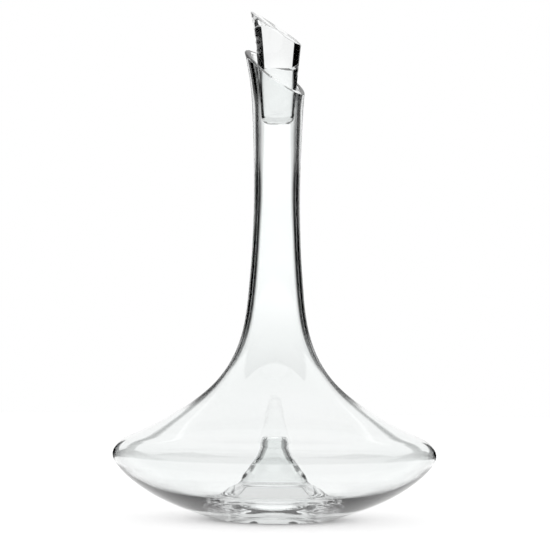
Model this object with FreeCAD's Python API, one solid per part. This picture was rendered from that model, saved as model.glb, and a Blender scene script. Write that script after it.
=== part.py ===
import FreeCAD, Part
import math
import os

# Wine decanter with a loose solid-glass stopper.  Millimetres, +Z up the neck.
# Origin: centre of the foot's resting plane, on the vessel's axis.
# The mouth is cut on a slant: its low pouring lip faces +X.

# Foot ring and hollow push-up (punt)
FOOT_OUTER_R = 38.5
FOOT_INNER_R = 28.0
FOOT_ROUND = 1.5
PUNT_TOP_Z = 53.8
PUNT_TOP_R = 7.92
PUNT_TOP_ROUND = 2.2
PUNT_UNDER_ROUND = 1.8
PUNT_ROOF = 1.5
PUNT_WALL = 2.18

# Bowl and neck
BOWL_R = 107.5
BOWL_Z = 43.6
NECK_R = 15.35
BLANK_TOP_Z = 330.0

# Mouth, cut by a plane that is highest at -X
MOUTH_Z = 295.0
MOUTH_TILT = 37.5
RIM_ROUND = 0.6

# Stopper, resting in the neck; its slanted top is turned a little from the mouth
STOPPER_Z = 262.0
STOPPER_R = 10.5
STOPPER_TOP_Z = 325.0
STOPPER_TILT = 33.8
STOPPER_TURN = 9.0
STOPPER_FOOT_ROUND = 5.5
STOPPER_LIP_ROUND = 0.4

# Outside, from the foot ring up to above the mouth: (radius, height, glass thickness)
OUTSIDE = [
    (FOOT_OUTER_R, 0.0, 9.0),
    (49.0, 3.3, 5.76),
    (63.0, 8.4, 4.85),
    (79.0, 15.7, 2.59),
    (92.7, 24.5, 1.7),
    (103.2, 34.2, 1.4),
    (BOWL_R, BOWL_Z, 1.3),
    (104.3, 49.6, 1.25),
    (93.0, 56.4, 1.2),
    (78.4, 63.4, 1.22),
    (61.8, 73.2, 1.3),
    (44.4, 86.0, 1.45),
    (30.1, 104.0, 1.7),
    (22.8, 122.0, 1.95),
    (19.3, 141.0, 2.1),
    (17.6, 160.0, 2.2),
    (16.5, 175.0, 2.15),
    (15.75, 192.0, 2.25),
    (NECK_R, 210.0, 2.5),
    (15.45, 230.0, 2.6),
    (15.95, 250.0, 3.1),
    (16.7, 267.0, 3.6),
    (17.6, 281.0, 4.0),
    (19.1, 293.0, 4.0),
    (21.4, 305.0, 3.9),
    (27.0, BLANK_TOP_Z, 3.7),
]

# Inside of the punt's flank and of the channel round it; beyond this radius the
# inside is the outside moved in by the glass thickness
PUNT_SIDE = [
    (14.71, 36.0),
    (19.98, 27.6),
    (23.98, 20.6),
    (31.0, 16.22),
    (38.0, 9.48),
    (46.0, 7.84),
]
WALL_FROM_R = 56.0
WALL_STEPS = 90

# Punt's hollow side, from its flank down to the foot ring
HOLLOW = [
    (12.41, 36.0),
    (18.18, 27.3),
    (22.48, 20.6),
    (24.82, 14.0),
    (FOOT_INNER_R, 0.0),
]

# Stopper's side, from its foot to above its slanted top
PLUG = [
    (STOPPER_R, STOPPER_Z),
    (11.6, 277.0),
    (12.6, 289.0),
    (13.7, 301.0),
    (14.9, 312.5),
    (16.5, 325.0),
    (19.0, 337.5),
    (21.4, 346.0),
]


def point(r, z):
    return FreeCAD.Vector(r, 0.0, z)


def straight(a, b):
    return Part.LineSegment(point(*a), point(*b)).toShape()


def smooth(stations):
    """Smooth edge through (radius, height) stations."""
    spline = Part.BSplineCurve()
    spline.interpolate([point(r, z) for r, z in stations])
    return spline.toShape()


def turned(edges):
    """Solid turned about Z from a closed half outline."""
    face = Part.Face(Part.Wire(edges))
    solid = face.revolve(FreeCAD.Vector(0, 0, 0), FreeCAD.Vector(0, 0, 1), 360)
    if solid.Volume < 0:
        solid.reverse()
    return solid


def rounded(solid, radius, picks):
    """Round the circular edges that lie at the (radius, height) picks."""
    chosen = []
    for edge in solid.Edges:
        p = edge.valueAt(edge.FirstParameter)
        r = math.hypot(p.x, p.y)
        for pick_r, pick_z in picks:
            on_circle = edge.Curve.TypeId == "Part::GeomCircle"
            if on_circle and abs(r - pick_r) < 0.01 and abs(p.z - pick_z) < 0.01:
                chosen.append(edge)
    return solid.makeFillet(radius, chosen)


def slant_block(height, tilt, turn=0.0):
    """Block above a plane that crosses the axis at this height, high at -X."""
    size = 160.0
    corner = FreeCAD.Vector(-size / 2, -size / 2, 0)
    block = Part.makeBox(size, size, size, corner)
    block.rotate(FreeCAD.Vector(0, 0, 0), FreeCAD.Vector(0, 1, 0), tilt)
    block.rotate(FreeCAD.Vector(0, 0, 0), FreeCAD.Vector(0, 0, 1), turn)
    block.translate(FreeCAD.Vector(0, 0, height))
    return block


def slant_edges(solid, lowest):
    """Edges of a slanted cut: long in Y, rising in Z, above this height."""
    found = []
    for edge in solid.Edges:
        box = edge.BoundBox
        if box.ZMin > lowest and box.ZLength > 10 and box.YLength > 20:
            found.append(edge)
    return found


def inside():
    """Stations of the inner outline, from the punt's flank to above the mouth."""
    curve = Part.BSplineCurve()
    curve.interpolate([FreeCAD.Vector(r, wall, z) for r, z, wall in OUTSIDE])
    first = curve.FirstParameter
    last = curve.LastParameter
    moved = []
    for i in range(WALL_STEPS + 1):
        at = first + (last - first) * i / WALL_STEPS
        p = curve.value(at)
        along = curve.tangent(at)[0]
        length = math.hypot(along.x, along.z)
        if p.x > WALL_FROM_R or moved:
            r = p.x - p.y * along.z / length
            z = p.z + p.y * along.x / length
            moved.append((r, z))
    return PUNT_SIDE + moved


def blank():
    """Outer form of the vessel, solid and uncut."""
    side = [(r, z) for r, z, wall in OUTSIDE]
    solid = turned([
        straight((0, 0), side[0]),
        smooth(side),
        straight(side[-1], (0, BLANK_TOP_Z)),
        straight((0, BLANK_TOP_Z), (0, 0)),
    ])
    return solid


def cavity():
    """Space for the wine: bowl and neck, over the punt."""
    side = inside()
    top_z = side[-1][1]
    corner = (PUNT_TOP_R, PUNT_TOP_Z)
    solid = turned([
        straight((0, PUNT_TOP_Z), corner),
        straight(corner, side[0]),
        smooth(side),
        straight(side[-1], (0, top_z)),
        straight((0, top_z), (0, PUNT_TOP_Z)),
    ])
    return rounded(solid, PUNT_TOP_ROUND, [corner])


def push_up():
    """Hollow of the punt, open downward."""
    roof = PUNT_TOP_Z - PUNT_ROOF
    corner = (PUNT_TOP_R - PUNT_WALL, roof)
    solid = turned([
        straight((0, roof), corner),
        straight(corner, HOLLOW[0]),
        smooth(HOLLOW),
        straight((FOOT_INNER_R, 0), (0, 0)),
        straight((0, 0), (0, roof)),
    ])
    return rounded(solid, PUNT_UNDER_ROUND, [corner])


def vessel():
    glass = blank().cut(cavity()).cut(push_up())
    foot = [(FOOT_OUTER_R, 0.0), (FOOT_INNER_R, 0.0)]
    glass = rounded(glass, FOOT_ROUND, foot)
    glass = glass.cut(slant_block(MOUTH_Z, MOUTH_TILT))
    return glass.makeFillet(RIM_ROUND, slant_edges(glass, MOUTH_Z - 30))


def stopper():
    """Solid plug with a slanted top, turned about the neck's axis."""
    top_r = PLUG[-1][0]
    top_z = PLUG[-1][1]
    plug = turned([
        straight((0, STOPPER_Z), PLUG[0]),
        smooth(PLUG),
        straight((top_r, top_z), (0, top_z)),
        straight((0, top_z), (0, STOPPER_Z)),
    ])
    plug = rounded(plug, STOPPER_FOOT_ROUND, [PLUG[0]])
    plug = plug.cut(slant_block(STOPPER_TOP_Z, STOPPER_TILT, STOPPER_TURN))
    lip = slant_edges(plug, STOPPER_TOP_Z - 30)
    return plug.makeFillet(STOPPER_LIP_ROUND, lip)


def mesh_volume(solid):
    """Volume from a fine mesh, in cubic centimetres."""
    corners, faces = solid.tessellate(0.1)
    total = 0.0
    for i, j, k in faces:
        total += corners[i].dot(corners[j].cross(corners[k])) / 6
    return total / 1000


def main():
    os.makedirs("parts", exist_ok=True)
    nodes = {
        "decanter_vessel": vessel(),
        "stopper": stopper(),
    }
    for name, shape in nodes.items():
        solid = shape.Solids[0]
        solid.exportStep("parts/" + name + ".step")
        box = solid.BoundBox
        print(name, "solids", len(shape.Solids), "valid", solid.isValid(),
              "cm3", round(mesh_volume(solid), 1),
              "z", round(box.ZMin, 2), round(box.ZMax, 2),
              "x", round(box.XMin, 2), round(box.XMax, 2))
    gap = nodes["decanter_vessel"].distToShape(nodes["stopper"])[0]
    print("gap round the stopper", round(gap, 3))


main()
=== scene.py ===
import math

import bpy
import numpy as np
from mathutils import Matrix, Vector


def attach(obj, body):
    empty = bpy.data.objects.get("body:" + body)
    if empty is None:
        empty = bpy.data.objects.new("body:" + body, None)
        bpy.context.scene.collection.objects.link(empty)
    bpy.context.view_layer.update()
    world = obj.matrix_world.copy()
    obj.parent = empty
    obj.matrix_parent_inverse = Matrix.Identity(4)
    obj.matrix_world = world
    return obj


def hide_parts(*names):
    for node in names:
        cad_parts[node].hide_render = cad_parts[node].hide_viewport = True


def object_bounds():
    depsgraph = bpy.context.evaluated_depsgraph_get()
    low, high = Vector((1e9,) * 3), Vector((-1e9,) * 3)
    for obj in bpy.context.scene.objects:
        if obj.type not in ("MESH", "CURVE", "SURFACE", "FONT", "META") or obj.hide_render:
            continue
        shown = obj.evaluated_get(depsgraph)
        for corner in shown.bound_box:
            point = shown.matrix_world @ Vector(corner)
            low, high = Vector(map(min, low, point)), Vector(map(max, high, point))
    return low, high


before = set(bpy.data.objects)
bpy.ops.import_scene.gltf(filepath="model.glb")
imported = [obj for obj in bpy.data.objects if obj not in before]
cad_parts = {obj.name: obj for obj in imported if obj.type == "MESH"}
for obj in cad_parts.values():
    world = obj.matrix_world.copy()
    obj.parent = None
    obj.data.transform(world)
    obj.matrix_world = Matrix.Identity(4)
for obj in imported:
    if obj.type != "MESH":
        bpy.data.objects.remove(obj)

CAD_BOX = [list(v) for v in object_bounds()]
SCENE = bpy.context.scene
MM = 0.001

# ---------------------------------------------------------------- outlines
# The glass forms have the CAD model's own stations and sizes, in millimetres.

FOOT_OUTER_R = 38.5
FOOT_INNER_R = 28.0
FOOT_ROUND = 1.5
PUNT_TOP_Z = 53.8
PUNT_TOP_R = 7.92
PUNT_TOP_ROUND = 2.2
PUNT_UNDER_ROUND = 1.8
PUNT_ROOF = 1.5
PUNT_WALL = 2.18
MOUTH_Z = 295.0
MOUTH_TILT = 37.5
SLANT_FROM_Z = 200.0
RIM_ROUND = 0.6
STOPPER_Z = 262.0
# 0.4 below the CAD's, so that the sharp edge of the slant stays inside its box
STOPPER_TOP_Z = 324.6
STOPPER_TILT = 33.8
STOPPER_TURN = 9.0
STOPPER_FOOT_ROUND = 5.5
STOPPER_LIP_ROUND = 0.4

# outside, from the foot ring to above the mouth: (radius, height, glass thickness)
OUTSIDE = [
    (38.5, 0.0, 9.0), (49.0, 3.3, 5.76), (63.0, 8.4, 4.85), (79.0, 15.7, 2.59),
    (92.7, 24.5, 1.7), (103.2, 34.2, 1.4), (107.5, 43.6, 1.3), (104.3, 49.6, 1.25),
    (93.0, 56.4, 1.2), (78.4, 63.4, 1.22), (61.8, 73.2, 1.3), (44.4, 86.0, 1.45),
    (30.1, 104.0, 1.7), (22.8, 122.0, 1.95), (19.3, 141.0, 2.1), (17.6, 160.0, 2.2),
    (16.5, 175.0, 2.15), (15.75, 192.0, 2.25), (15.35, 210.0, 2.5), (15.45, 230.0, 2.6),
    (15.95, 250.0, 3.1), (16.7, 267.0, 3.6), (17.6, 281.0, 4.0), (19.1, 293.0, 4.0),
    (21.4, 305.0, 3.9), (27.0, 330.0, 3.7),
]
# inside of the punt's flank and of the channel round it: (radius, height)
PUNT_SIDE = [
    (14.71, 36.0), (19.98, 27.6), (23.98, 20.6), (31.0, 16.22), (38.0, 9.48), (46.0, 7.84),
]
# beyond this radius the inside is the outside moved in by the thickness
WALL_FROM_R = 56.0
# hollow under the punt, down to the foot ring
HOLLOW = [
    (12.41, 36.0), (18.18, 27.3), (22.48, 20.6), (24.82, 14.0), (28.0, 0.0),
]
# side of the stopper, from its foot to above its slanted top
PLUG = [
    (10.5, 262.0), (11.6, 277.0), (12.6, 289.0), (13.7, 301.0), (14.9, 312.5),
    (16.5, 325.0), (19.0, 337.5), (21.4, 346.0),
]

# points along each outline, and which of them go into the mesh
OUTER_POINTS = 1200
OUTER_STEP = 7
INNER_POINTS = 1600
INNER_STEP = 8
WALL_STEP = 16
HOLLOW_POINTS = 60
NECK_ROWS = 44
PLUG_POINTS = 700
PLUG_ROWS = 60

# ---------------------------------------------------------------- looks
# metres and degrees, apart from the heights in SHADOW_PASS

VESSEL_TINTS = ((0.948, 0.963, 0.96, 1), (0.963, 0.972, 0.97, 1))
STOPPER_TINTS = ((0.968, 0.982, 0.98, 1), (0.982, 0.99, 0.988, 1))
TINT_SCALE = 14.0
WAVE_SCALE = 22.0
RIPPLE = 0.000003
# how much light each glass surface lets past into its shadow: (height in mm, part)
SHADOW_PASS = [(0.0, 0.35), (1.5, 0.5), (3.5, 0.68), (8.0, 0.86), (15.0, 0.94), (30.0, 1.0)]

# roughness of the floor and of the surround
MATT_ROUGHNESS = 0.9

# floor: its paleness near and far, painted paler farther out where the lamp's light is weaker
# (painted light);
# where it is seen through the glass it is a painted glow in place of the light let through,
# dimmer under the foot (painted shade), each level with its distance from the axis
FLOOR_R = 1.5
FLOOR_SIDES = 96
FLOOR_DROP = 0.0002
# floor painted paler farther out to make up for the lamp's weaker light there: painted light
FLOOR_NEAR, FLOOR_NEAR_R = 0.765, 0.10
FLOOR_FAR, FLOOR_FAR_R = 0.92, 0.45
# painted glow where the floor is seen through the glass, in place of the light let through;
# dimmer under the foot: painted shade
SHADED_GLOW_UNDER_FOOT, SHADED_GLOW_UNDER_FOOT_R = 0.75, 0.030
GLOW_THROUGH_GLASS, GLOW_THROUGH_GLASS_R = 0.98, 0.110

# camera: a level view line just below the middle of the object, rolled a little about it
AIM_Z = 0.162
AIM_LEFT = 0.0008
DISTANCE = 2.0
SENSOR = 36.0
VIEW_WIDTH = 0.365
AZIMUTH = 26.0
ROLL = 0.56

# surround that shows only in the glass, carried by the camera
BLACK = (0.0, 0.0, 0.0, 1)
# dim curved front between the camera and the object, which the camera doesn't see:
# level, radius round the object, first angle off the view line, height
FRONT_LEVEL = 0.01
FRONT_RADIUS = 1.0
FRONT_FROM = 80.0
FRONT_TOP = 1.6
FRONT_STEPS = 24
# dark walls behind and beside the object: angle off the view line, angle of the top
# edge seen from WALL_EYE's height, cover
WALL_RADIUS = 5.0
WALL_EYE = 0.15
WALL_SOFT = 2.0
WALL_BOTTOM = -14.0
WALL = [
    (9.0, 3.0, 0.0),
    (13.0, 4.5, 0.8),
    (19.0, 6.0, 1.0),
    (30.0, 7.0, 1.0),
    (34.0, 20.0, 1.0),
    (50.0, 26.0, 1.0),
    (82.0, 28.0, 1.0),
]
# dark screens close behind on both sides, from the neck outwards:
# distance from the axis, lower edge, upper edge
SCREEN_BACK = 0.20
SCREEN_SOFT = 0.008
SCREEN = [
    (0.060, 0.085, 0.215),
    (0.068, 0.090, 0.215),
    (0.084, 0.108, 0.215),
    (0.103, 0.137, 0.180),
    (0.120, 0.155, 0.180),
    (0.170, 0.155, 0.180),
    (0.185, 0.155, 0.200),
    (0.400, 0.155, 0.235),
]
SHEET_LINES = 120
SHEET_ROWS = 41
# cards behind the object: name, left, right, low, high, distance behind, level, fade at
# the low edge and at the high edge (parts of the height)
CARDS = [
    ("card_neck", -0.055, 0.055, 0.085, 0.310, 0.30, 1.28, 0.4, 0.05),
    ("card_stopper", -0.230, 0.230, 0.305, 0.375, 0.32, 1.20, 0.3, 0.6),
    ("card_left", -0.600, -0.165, 0.0, 0.120, 0.31, 0.0, 0.02, 0.1),
    ("card_right", 0.165, 0.600, 0.0, 0.120, 0.31, 0.0, 0.02, 0.1),
    ("card_far_left", -0.600, -0.270, 0.0, 0.240, 0.80, 0.0, 0.02, 0.15),
    ("card_far_right", 0.270, 0.600, 0.0, 0.240, 0.80, 0.0, 0.02, 0.15),
]

# light: level of the white surround by elevation, and a soft lamp overhead
SKY = [(-90.0, 1.0), (8.0, 1.0), (20.0, 0.97), (90.0, 1.0)]
LAMP_Z = 1.8
LAMP_SIZE = 1.6
LAMP_WATTS = 14.0


# ---------------------------------------------------------------- shapes

def spline(stations, count):
    """Points on the smooth curve through the stations, with chord-length knots."""
    p = np.array(stations, float)
    h = np.hypot(*np.diff(p[:, :2], axis=0).T)
    t = np.r_[0.0, np.cumsum(h)]
    n = len(p)
    d = np.diff(p, axis=0) / h[:, None]
    m = np.zeros((n, n))
    rhs = np.zeros(p.shape)
    m[0, 0] = m[-1, -1] = 1.0
    rhs[0] = d[0] + (d[0] - d[1]) * h[0] / (h[0] + h[1])
    rhs[-1] = d[-1] + (d[-1] - d[-2]) * h[-1] / (h[-1] + h[-2])
    for i in range(1, n - 1):
        m[i, i - 1] = h[i]
        m[i, i] = 2 * (h[i - 1] + h[i])
        m[i, i + 1] = h[i - 1]
        rhs[i] = 3 * (h[i] * d[i - 1] + h[i - 1] * d[i])
    s = np.linalg.solve(m, rhs)
    u = np.linspace(0.0, t[-1], count)
    k = np.clip(np.searchsorted(t, u, side="right") - 1, 0, n - 2)
    x = ((u - t[k]) / h[k])[:, None]
    hk = h[k][:, None]
    return (p[k] * (1 + 2 * x) * (1 - x) ** 2 + s[k] * hk * x * (1 - x) ** 2
            + p[k + 1] * x * x * (3 - 2 * x) + s[k + 1] * hk * x * x * (x - 1))


def corner(a, b, c, radius, count=8):
    """Arc that rounds corner b between the straight runs a-b and b-c."""
    a, b, c = (np.array(v, float) for v in (a, b, c))
    u = (a - b) / np.linalg.norm(a - b)
    v = (c - b) / np.linalg.norm(c - b)
    half = math.acos(np.clip(u @ v, -1, 1)) / 2
    reach = radius / math.tan(half)
    centre = b + (u + v) / np.linalg.norm(u + v) * radius / math.sin(half)
    start = b + u * reach - centre
    end = b + v * reach - centre
    a0 = math.atan2(start[1], start[0])
    turn = math.atan2(end[1], end[0]) - a0
    turn = (turn + math.pi) % (2 * math.pi) - math.pi
    return [tuple(centre + radius * np.array([math.cos(a0 + turn * i / count),
                                              math.sin(a0 + turn * i / count)]))
            for i in range(count + 1)]


def upto_slant(curve, height, tilt, turn, phi, keep):
    """Part of a curve above keep, cut off at the slanted plane, and its running length."""
    slope = math.tan(math.radians(tilt)) * math.cos(phi - math.radians(turn))
    over = curve[:, 1] - (height - curve[:, 0] * slope)
    i = int(np.argmax(over > 0))
    f = over[i - 1] / (over[i - 1] - over[i])
    top = curve[i - 1] + f * (curve[i] - curve[i - 1])
    start = int(np.argmax(curve[:, 1] > keep))
    run = np.vstack([curve[start:i], top])
    seg = np.r_[0.0, np.cumsum(np.hypot(*np.diff(run, axis=0).T))]
    return run, seg


def at_length(run, seg, u):
    """Points of a curve at the given lengths along it."""
    return np.c_[np.interp(u, seg, run[:, 0]), np.interp(u, seg, run[:, 1])]


def cut_rim(up, edge_out, edge_in, down, radius):
    """Flat cut between the two walls, its two edges broken by a small radius."""
    return (corner(up, edge_out, edge_in, radius, 5)
            + corner(edge_out, edge_in, down, radius, 5))


def lathe(name, columns, closed_low, closed_high, body, node):
    """Closed mesh from one outline per angle, each running pole to pole."""
    segs = len(columns)
    rows = len(columns[0])
    verts = [(0.0, 0.0, closed_low * MM)]
    for j in range(rows):
        for i in range(segs):
            phi = 2 * math.pi * i / segs
            r, z = columns[i][j]
            verts.append((r * math.cos(phi) * MM, r * math.sin(phi) * MM, z * MM))
    verts.append((0.0, 0.0, closed_high * MM))
    faces = []
    for i in range(segs):
        k = (i + 1) % segs
        faces.append((0, 1 + k, 1 + i))
        for j in range(rows - 1):
            a, b = 1 + j * segs, 1 + (j + 1) * segs
            faces.append((a + i, a + k, b + k, b + i))
        last = 1 + (rows - 1) * segs
        faces.append((last + i, last + k, len(verts) - 1))
    mesh = bpy.data.meshes.new(name)
    mesh.from_pydata(verts, [], faces)
    mesh.validate()
    mesh.update()
    for poly in mesh.polygons:
        poly.use_smooth = True
    piece = bpy.data.objects.new(name, mesh)
    SCENE.collection.objects.link(piece)
    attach(piece, body)
    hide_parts(node)
    return piece


def inner_outline(outside):
    """Punt flank and floor, then the outer curve moved inwards by its wall."""
    along = np.gradient(outside[:, :2], axis=0)
    along /= np.hypot(along[:, 0], along[:, 1])[:, None]
    wall = outside[:, 2:3]
    moved = outside[:, :2] + np.c_[-along[:, 1], along[:, 0]] * wall
    first = int(np.argmax(outside[:, 0] > WALL_FROM_R))
    return spline(PUNT_SIDE + [tuple(p) for p in moved[first::WALL_STEP]],
                  INNER_POINTS)


def vessel_columns(segs=192):
    """One outline of the vessel per angle, from the hollow's roof round to the punt's top."""
    outer = spline(OUTSIDE, OUTER_POINTS)
    outside = outer[:, :2]
    inside = inner_outline(outer)
    hollow = spline(HOLLOW, HOLLOW_POINTS)
    roof = PUNT_TOP_Z - PUNT_ROOF
    under_top = (PUNT_TOP_R - PUNT_WALL, roof)
    low = [(r, roof) for r in (0.8, 1.6, 2.4, 2.8)]
    low += corner((0, roof), under_top, HOLLOW[0], PUNT_UNDER_ROUND)
    end = np.array(low[-1])
    low += [tuple(end + (np.array(HOLLOW[0]) - end) * f) for f in (0.25, 0.5, 0.75)]
    low += [tuple(p) for p in hollow[:-4]]
    low += corner(hollow[-5], (FOOT_INNER_R, 0.0), (FOOT_OUTER_R, 0.0), FOOT_ROUND)
    low += [(r, 0.0) for r in np.linspace(FOOT_INNER_R + 2.5, FOOT_OUTER_R - 2.5, 6)]
    low += corner((FOOT_INNER_R, 0.0), (FOOT_OUTER_R, 0.0), outside[14], FOOT_ROUND)
    first = int(np.argmax(outside[:, 0] > FOOT_OUTER_R + 2.6))
    stop = int(np.argmax(outside[:, 1] > SLANT_FROM_Z))
    low += [tuple(p) for p in outside[first:stop:OUTER_STEP]]
    start_in = int(np.argmax(inside[:, 1] > SLANT_FROM_Z))
    high = [tuple(p) for p in inside[start_in - 1:0:-INNER_STEP]]
    top = (PUNT_TOP_R, PUNT_TOP_Z)
    flank = np.array(PUNT_SIDE[0])
    arc = corner(PUNT_SIDE[0], top, (0, PUNT_TOP_Z), PUNT_TOP_ROUND)
    first_arc = np.array(arc[0])
    high += [tuple(flank + (first_arc - flank) * f) for f in (0, 0.2, 0.4, 0.6, 0.8)]
    high += arc
    high += [(r, PUNT_TOP_Z) for r in (4.0, 2.8, 1.6, 0.8)]
    columns = []
    for i in range(segs):
        phi = 2 * math.pi * i / segs
        run, seg = upto_slant(outside, MOUTH_Z, MOUTH_TILT, 0.0, phi, SLANT_FROM_Z)
        run_in, seg_in = upto_slant(inside, MOUTH_Z, MOUTH_TILT, 0.0, phi, SLANT_FROM_Z)
        clear = RIM_ROUND * 2.2
        up = at_length(run, seg, np.linspace(0, seg[-1] - clear, NECK_ROWS))
        down = at_length(run_in, seg_in, np.linspace(seg_in[-1] - clear, 0, NECK_ROWS))
        rim = cut_rim(up[-1], run[-1], run_in[-1], down[0], RIM_ROUND)
        column = low + [tuple(p) for p in up] + rim
        column += [tuple(p) for p in down] + high
        columns.append(column)
    return columns, roof, PUNT_TOP_Z


def stopper_columns(segs=144):
    """One outline of the stopper per angle, from its foot to its slanted top."""
    side = spline(PLUG, PLUG_POINTS)
    base_r = PLUG[0][0]
    low = [(r, STOPPER_Z) for r in (1.5, 3.0, 4.2)]
    low += corner((0, STOPPER_Z), (base_r, STOPPER_Z), side[60], STOPPER_FOOT_ROUND, 12)
    keep = STOPPER_Z + 6.0
    columns = []
    for i in range(segs):
        phi = 2 * math.pi * i / segs
        slope = math.tan(math.radians(STOPPER_TILT))
        slope *= math.cos(phi - math.radians(STOPPER_TURN))
        run, seg = upto_slant(side, STOPPER_TOP_Z, STOPPER_TILT, STOPPER_TURN, phi, keep)
        lip = STOPPER_LIP_ROUND
        up = at_length(run, seg, np.linspace(0, seg[-1] - lip, PLUG_ROWS))
        edge = run[-1]
        inner_r = edge[0] - lip
        inner = np.array([inner_r, STOPPER_TOP_Z - inner_r * slope])
        w = np.linspace(0, 1, 6)[1:-1, None]
        bend = up[-1] * (1 - w) ** 2 + 2 * edge * w * (1 - w) + inner * w * w
        flat = [(inner_r * f, STOPPER_TOP_Z - inner_r * f * slope)
                for f in (1.0, 0.94, 0.85, 0.7, 0.55, 0.4, 0.25, 0.12)]
        column = low + [tuple(p) for p in up] + [tuple(p) for p in bend] + flat
        columns.append(column)
    return columns, STOPPER_Z, STOPPER_TOP_Z


# ---------------------------------------------------------------- glass

def grey_ramp(nodes, stops):
    """Colour ramp through grey levels at the given positions."""
    ramp = nodes.new("ShaderNodeValToRGB")
    while len(ramp.color_ramp.elements) < len(stops):
        ramp.color_ramp.elements.new(0.5)
    for element, (position, level) in zip(ramp.color_ramp.elements, stops):
        element.position = position
        element.color = (level, level, level, 1)
    return ramp


def noise(nodes, links, vector, scale, detail):
    """Noise texture on a vector."""
    cloud = nodes.new("ShaderNodeTexNoise")
    cloud.inputs["Scale"].default_value = scale
    cloud.inputs["Detail"].default_value = detail
    links.new(vector, cloud.inputs["Vector"])
    return cloud


def let_light_past(nodes, links, coord, shader):
    """The glass for sight and reflections, but a plain see-through tone for its shadow."""
    path = nodes.new("ShaderNodeLightPath")
    through = nodes.new("ShaderNodeBsdfTransparent")
    height = nodes.new("ShaderNodeSeparateXYZ")
    links.new(coord.outputs["Object"], height.inputs["Vector"])
    reach = nodes.new("ShaderNodeMath")
    reach.operation = "DIVIDE"
    top = SHADOW_PASS[-1][0]
    reach.inputs[1].default_value = top * MM
    links.new(height.outputs["Z"], reach.inputs[0])
    ramp = grey_ramp(nodes, [(z / top, level) for z, level in SHADOW_PASS])
    links.new(reach.outputs["Value"], ramp.inputs["Fac"])
    links.new(ramp.outputs["Color"], through.inputs["Color"])
    either = nodes.new("ShaderNodeMath")
    either.operation = "MAXIMUM"
    links.new(path.outputs["Is Shadow Ray"], either.inputs[0])
    links.new(path.outputs["Is Diffuse Ray"], either.inputs[1])
    pick = nodes.new("ShaderNodeMixShader")
    links.new(either.outputs["Value"], pick.inputs[0])
    links.new(shader.outputs[0], pick.inputs[1])
    links.new(through.outputs[0], pick.inputs[2])
    links.new(pick.outputs[0], nodes["Material Output"].inputs["Surface"])


def glass(name, tints, seed):
    """Clear glass: faintly uneven tint, and the slow ripple of a hand-made surface."""
    mat = bpy.data.materials.new(name)
    mat.use_nodes = True
    nodes, links = mat.node_tree.nodes, mat.node_tree.links
    shader = nodes["Principled BSDF"]
    shader.inputs["Transmission Weight"].default_value = 1.0
    shader.inputs["Roughness"].default_value = 0.0
    shader.inputs["IOR"].default_value = 1.5
    shader.inputs["Metallic"].default_value = 0.0
    coord = nodes.new("ShaderNodeTexCoord")
    place = nodes.new("ShaderNodeMapping")
    place.inputs["Location"].default_value = (seed, seed * 0.7, seed * 1.3)
    links.new(coord.outputs["Object"], place.inputs["Vector"])
    cloud = noise(nodes, links, place.outputs["Vector"], TINT_SCALE, 2.0)
    ramp = nodes.new("ShaderNodeValToRGB")
    for element, position, tint in zip(ramp.color_ramp.elements, (0.35, 0.65), tints):
        element.position = position
        element.color = tint
    links.new(cloud.outputs["Fac"], ramp.inputs["Fac"])
    links.new(ramp.outputs["Color"], shader.inputs["Base Color"])
    wave = noise(nodes, links, place.outputs["Vector"], WAVE_SCALE, 1.0)
    bump = nodes.new("ShaderNodeBump")
    bump.inputs["Strength"].default_value = 1.0
    bump.inputs["Distance"].default_value = RIPPLE
    links.new(wave.outputs["Fac"], bump.inputs["Height"])
    links.new(bump.outputs["Normal"], shader.inputs["Normal"])
    let_light_past(nodes, links, coord, shader)
    return mat


# ---------------------------------------------------------------- stage

def plain(name, colour, glow=0.0):
    """Matt material, lit by itself where glow isn't 0."""
    mat = bpy.data.materials.new(name)
    mat.use_nodes = True
    shader = mat.node_tree.nodes["Principled BSDF"]
    shader.inputs["Base Color"].default_value = colour
    shader.inputs["Roughness"].default_value = MATT_ROUGHNESS
    shader.inputs["Specular IOR Level"].default_value = 0.0
    if glow:
        shader.inputs["Emission Color"].default_value = (1, 1, 1, 1)
        shader.inputs["Emission Strength"].default_value = glow
    return mat


def staged(name, verts, faces, mat):
    """A mesh object that isn't part of the decanter."""
    mesh = bpy.data.meshes.new(name)
    mesh.from_pydata(verts, [], faces)
    mesh.update()
    obj = bpy.data.objects.new(name, mesh)
    obj.data.materials.append(mat)
    SCENE.collection.objects.link(obj)
    return obj


def show_by(mat, cover):
    """Let a material show as far as cover says, and be clear elsewhere."""
    nodes, links = mat.node_tree.nodes, mat.node_tree.links
    clear = nodes.new("ShaderNodeBsdfTransparent")
    mix = nodes.new("ShaderNodeMixShader")
    links.new(cover, mix.inputs[0])
    links.new(clear.outputs[0], mix.inputs[1])
    links.new(nodes["Principled BSDF"].outputs[0], mix.inputs[2])
    links.new(mix.outputs[0], nodes["Material Output"].inputs["Surface"])


def dark_sheet(name, verts, cover):
    """A black sheet of SHEET_LINES by SHEET_ROWS points, each with its own cover."""
    faces = [(i + k, i + k + 1, i + SHEET_ROWS + k + 1, i + SHEET_ROWS + k)
             for i in range(0, (SHEET_LINES - 1) * SHEET_ROWS, SHEET_ROWS)
             for k in range(SHEET_ROWS - 1)]
    mat = plain(name, BLACK)
    value = mat.node_tree.nodes.new("ShaderNodeAttribute")
    value.attribute_name = "cover"
    show_by(mat, value.outputs["Fac"])
    obj = staged(name, verts, faces, mat)
    obj.data.attributes.new("cover", "FLOAT", "POINT").data.foreach_set("value", cover)
    obj.data.update()
    return obj


def clipped(value):
    """Value held between 0 and 1."""
    return min(1.0, max(0.0, value))


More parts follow.
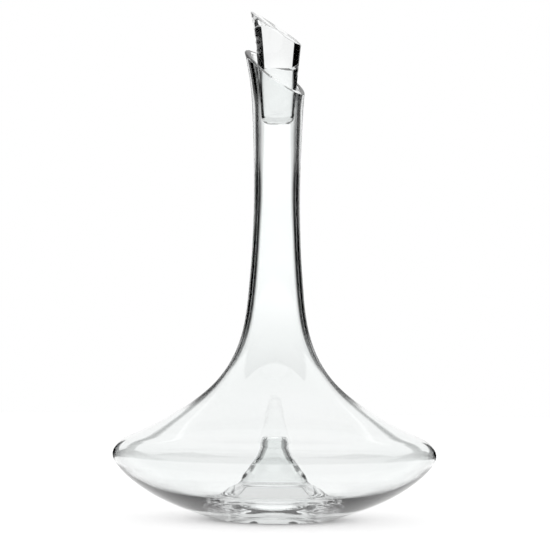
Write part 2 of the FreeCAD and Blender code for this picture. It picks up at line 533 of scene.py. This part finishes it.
def dark_wall(name, side):
    """An upright dark wall on one side, its cover fading at its inner end and along the top.
    """
    turns, tops, strengths = np.array(WALL).T
    verts, cover = [], []
    for turn in np.linspace(turns[0], turns[-1], SHEET_LINES):
        top = np.interp(turn, turns, tops)
        strength = np.interp(turn, turns, strengths)
        a = math.radians(turn)
        for tilt in np.linspace(WALL_BOTTOM, top + WALL_SOFT, SHEET_ROWS):
            height = WALL_EYE + WALL_RADIUS * math.tan(math.radians(tilt)) - AIM_Z
            verts.append((side * WALL_RADIUS * math.sin(a), height,
                          -DISTANCE - WALL_RADIUS * math.cos(a)))
            cover.append(strength * clipped((top + WALL_SOFT - tilt) / (2.0 * WALL_SOFT)))
    return dark_sheet(name, verts, cover)


def dark_screen(name, side):
    """A dark screen close behind on one side, with soft edges and a slanting lower edge."""
    reaches, lows, highs = np.array(SCREEN).T
    inner = reaches[0] - SCREEN_SOFT
    verts, cover = [], []
    for x in np.linspace(inner, reaches[-1], SHEET_LINES):
        low = np.interp(x, reaches, lows)
        high = np.interp(x, reaches, highs)
        start = clipped((x - inner) / (2.0 * SCREEN_SOFT))
        for z in np.linspace(low - SCREEN_SOFT, high + SCREEN_SOFT, SHEET_ROWS):
            verts.append((side * x, z - AIM_Z, -DISTANCE - SCREEN_BACK))
            fade = min(z - low, high - z) / (2.0 * SCREEN_SOFT) + 0.5
            cover.append(start * clipped(fade))
    return dark_sheet(name, verts, cover)


def card(name, left, right, low, high, back, level, fade_low, fade_high):
    """An upright card behind the object, fading at its lower and upper edges."""
    mat = plain(name, BLACK, level)
    nodes, links = mat.node_tree.nodes, mat.node_tree.links
    coord = nodes.new("ShaderNodeTexCoord")
    split = nodes.new("ShaderNodeSeparateXYZ")
    links.new(coord.outputs["Generated"], split.inputs["Vector"])
    both = nodes.new("ShaderNodeMath")
    both.operation = "MULTIPLY"
    for i, (start, end) in enumerate(((0.0, fade_low), (1.0, 1.0 - fade_high))):
        edge = nodes.new("ShaderNodeMapRange")
        edge.interpolation_type = "SMOOTHSTEP"
        edge.inputs["From Min"].default_value = min(start, end) - 0.0001
        edge.inputs["From Max"].default_value = max(start, end)
        edge.inputs["To Min"].default_value = i
        edge.inputs["To Max"].default_value = 1 - i
        links.new(split.outputs["Y"], edge.inputs["Value"])
        links.new(edge.outputs["Result"], both.inputs[i])
    show_by(mat, both.outputs["Value"])
    corners = ((left, low), (right, low), (right, high), (left, high))
    verts = [(x, z - AIM_Z, -DISTANCE - back) for x, z in corners]
    return staged(name, verts, [(0, 1, 2, 3)], mat)


def front():
    """Dim curved sheet in front of the object, for the glass to reflect."""
    verts = []
    for i in range(FRONT_STEPS + 1):
        a = math.radians(FRONT_FROM + (360.0 - 2.0 * FRONT_FROM) * i / FRONT_STEPS)
        x = FRONT_RADIUS * math.sin(a)
        z = -DISTANCE - FRONT_RADIUS * math.cos(a)
        verts += [(x, -AIM_Z, z), (x, FRONT_TOP - AIM_Z, z)]
    faces = [(2 * i, 2 * i + 1, 2 * i + 3, 2 * i + 2) for i in range(FRONT_STEPS)]
    return staged("curtain", verts, faces, plain("curtain_grey", BLACK, FRONT_LEVEL))


def by_distance(nodes, links, reach, near, far, smooth):
    """Value that goes from near's to far's, each (value, distance)."""
    node = nodes.new("ShaderNodeMapRange")
    if smooth:
        node.interpolation_type = "SMOOTHSTEP"
    node.inputs["From Min"].default_value = near[1]
    node.inputs["From Max"].default_value = far[1]
    node.inputs["To Min"].default_value = near[0]
    node.inputs["To Max"].default_value = far[0]
    links.new(reach, node.inputs["Value"])
    return node.outputs["Result"]


def make_floor(height):
    """Pale floor, painted paler farther out where the lamp is weaker.

    Where seen through glass it is a painted glow, dimmer under the foot: painted shade.
    """
    mat = plain("floor_white", (FLOOR_NEAR, FLOOR_NEAR, FLOOR_NEAR, 1))
    nodes, links = mat.node_tree.nodes, mat.node_tree.links
    place = nodes.new("ShaderNodeNewGeometry")
    length = nodes.new("ShaderNodeVectorMath")
    length.operation = "LENGTH"
    links.new(place.outputs["Position"], length.inputs[0])
    reach = length.outputs["Value"]
    # painted glow for rays through the glass, dimmer under the foot: painted shade
    lit = nodes.new("ShaderNodeEmission")
    links.new(by_distance(nodes, links, reach, (SHADED_GLOW_UNDER_FOOT, SHADED_GLOW_UNDER_FOOT_R),
                          (GLOW_THROUGH_GLASS, GLOW_THROUGH_GLASS_R), True), lit.inputs["Strength"])
    shader = nodes["Principled BSDF"]
    # paler farther out where the lamp is weaker: painted light
    links.new(by_distance(nodes, links, reach, (FLOOR_NEAR, FLOOR_NEAR_R),
                          (FLOOR_FAR, FLOOR_FAR_R), False), shader.inputs["Base Color"])
    ray = nodes.new("ShaderNodeLightPath")
    swap = nodes.new("ShaderNodeMixShader")
    links.new(ray.outputs["Is Transmission Ray"], swap.inputs[0])
    links.new(shader.outputs[0], swap.inputs[1])
    links.new(lit.outputs[0], swap.inputs[2])
    links.new(swap.outputs[0], nodes["Material Output"].inputs["Surface"])
    turns = [2 * math.pi * i / FLOOR_SIDES for i in range(FLOOR_SIDES)]
    ring = [(FLOOR_R * math.cos(a), FLOOR_R * math.sin(a), height - FLOOR_DROP)
            for a in turns]
    staged("floor", ring, [tuple(range(FLOOR_SIDES))], mat)


def make_pieces():
    """The two glass pieces, each in the place of its CAD node."""
    columns, low, high = vessel_columns()
    body = lathe("vessel_glass_form", columns, low, high, "vessel",
                 "decanter_vessel")
    body.data.materials.append(glass("clear_glass", VESSEL_TINTS, 3.0))
    columns, low, high = stopper_columns()
    plug = lathe("stopper_glass_form", columns, low, high, "stopper",
                 "stopper")
    plug.data.materials.append(glass("solid_glass", STOPPER_TINTS, 7.0))


def make_camera():
    """Camera with a long lens."""
    data = bpy.data.cameras.new("camera")
    cam = bpy.data.objects.new("camera", data)
    SCENE.collection.objects.link(cam)
    SCENE.camera = cam
    data.sensor_width = SENSOR
    data.lens = SENSOR * DISTANCE / VIEW_WIDTH
    data.clip_end = 20.0
    azimuth = math.radians(AZIMUTH)
    back = Vector((math.sin(azimuth), -math.cos(azimuth), 0.0))
    right = Vector((math.cos(azimuth), math.sin(azimuth), 0.0))
    cam.location = Vector((0.0, 0.0, AIM_Z)) - right * AIM_LEFT + back * DISTANCE
    turn = Matrix((right, Vector((0, 0, 1)), back)).transposed()
    roll = Matrix.Rotation(math.radians(ROLL), 4, "Z")
    cam.rotation_mode = "QUATERNION"
    cam.rotation_quaternion = (turn.to_4x4() @ roll).to_quaternion()
    return cam


def make_surround(cam):
    """Walls, screens and cards that are seen only in the glass."""
    boards = [dark_wall("wall_left", -1), dark_wall("wall_right", 1)]
    boards += [card(*row) for row in CARDS]
    boards += [dark_screen("blind_left", -1), dark_screen("blind_right", 1), front()]
    for obj in boards:
        obj.parent = cam
        obj.visible_camera = False
        obj.visible_diffuse = False
        obj.visible_shadow = False


def make_light():
    """A white surround and a soft lamp overhead."""
    world = bpy.data.worlds.new("surround")
    SCENE.world = world
    world.use_nodes = True
    nodes, links = world.node_tree.nodes, world.node_tree.links
    coord = nodes.new("ShaderNodeTexCoord")
    split = nodes.new("ShaderNodeSeparateXYZ")
    links.new(coord.outputs["Generated"], split.inputs["Vector"])
    ramp = grey_ramp(nodes, [(0.5 + 0.5 * math.sin(math.radians(elevation)), level)
                             for elevation, level in SKY])
    half = nodes.new("ShaderNodeMath")
    half.operation = "MULTIPLY_ADD"
    half.inputs[1].default_value = 0.5
    half.inputs[2].default_value = 0.5
    links.new(split.outputs["Z"], half.inputs[0])
    links.new(half.outputs[0], ramp.inputs["Fac"])
    links.new(ramp.outputs["Color"], nodes["Background"].inputs["Color"])

    data = bpy.data.lights.new("soft_top", "AREA")
    data.shape = "SQUARE"
    data.size = LAMP_SIZE
    data.energy = LAMP_WATTS
    lamp = bpy.data.objects.new("soft_top", data)
    SCENE.collection.objects.link(lamp)
    lamp.location = (0.0, 0.0, LAMP_Z)
    lamp.visible_glossy = False
    lamp.visible_transmission = False
    lamp.visible_camera = False


def view_settings():
    """Plain colours, and bounces enough for light to get through all the glass."""
    SCENE.view_settings.view_transform = "Standard"
    SCENE.view_settings.look = "None"
    SCENE.cycles.max_bounces = 24
    SCENE.cycles.transmission_bounces = 24
    SCENE.cycles.glossy_bounces = 12
    SCENE.cycles.transparent_max_bounces = 16


def main():
    make_pieces()
    make_floor(CAD_BOX[0][2])
    make_surround(make_camera())
    make_light()
    view_settings()


main()
